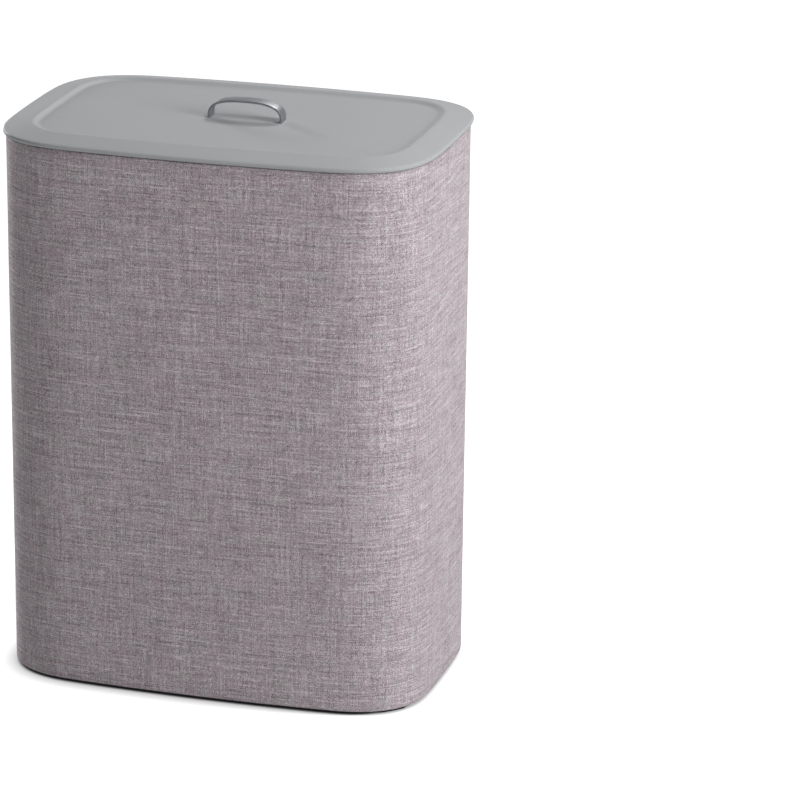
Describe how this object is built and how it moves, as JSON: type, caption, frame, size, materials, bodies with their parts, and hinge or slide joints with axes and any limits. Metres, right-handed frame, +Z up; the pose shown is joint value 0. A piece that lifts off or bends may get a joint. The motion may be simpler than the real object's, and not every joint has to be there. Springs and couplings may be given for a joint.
{
  "type": "laundry hamper with lid",
  "caption": "Tall rounded-rectangle laundry hamper: woven fabric over a board sleeve, lift-off moulded lid with an arched metal strap handle, removable tote bags inside.",
  "frame": {"origin": "on the floor, at the middle of the hamper's plan", "axes": "+Z up; +X along the width, to the right as seen from the front; the wide front faces -Y"},
  "size_m": [0.4626, 0.3146, 0.612],
  "materials": {
    "woven_fabric": "melange plain weave of pinkish grey and paler threads, with slubs",
    "board": "matt greyboard",
    "lining": "matt grey nonwoven",
    "grey_plastic": "fine matt moulded texture",
    "black_plastic": "matt",
    "black_rubber": "matt",
    "light_cloth": "plain-woven polyester",
    "dark_cloth": "plain-woven polyester",
    "wire": "plain drawn wire",
    "webbing": "ribbed woven webbing",
    "satin_steel": "satin"
  },
  "bodies": {
    "hamper": {"fabric_cover": "woven_fabric", "sleeve_board": "board", "inner_lining": "lining", "rim_frame": "grey_plastic", "base_board": "board", "base_cover": "black_plastic", "foot_front_left": "black_rubber", "foot_front_right": "black_rubber", "foot_back_left": "black_rubber", "foot_back_right": "black_rubber", "light_tote_bag": "light_cloth", "light_tote_hoop": "wire", "light_tote_base_board": "board", "light_tote_front_handle": "webbing", "light_tote_back_handle": "webbing", "dark_tote_bag": "dark_cloth", "dark_tote_hoop": "wire", "dark_tote_base_board": "board", "dark_tote_front_handle": "webbing", "dark_tote_back_handle": "webbing"},
    "lid": {"lid_shell": "grey_plastic", "lid_handle_strap": "satin_steel", "lid_handle_backplate": "grey_plastic", "lid_handle_screw_left": "satin_steel", "lid_handle_screw_right": "satin_steel"}
  },
  "joints": [
    {"name": "lid_lift", "type": "slide", "parent": "hamper", "child": "lid", "axis": [0, 0, 1], "range_m": [0, 0.3]}
  ]
}
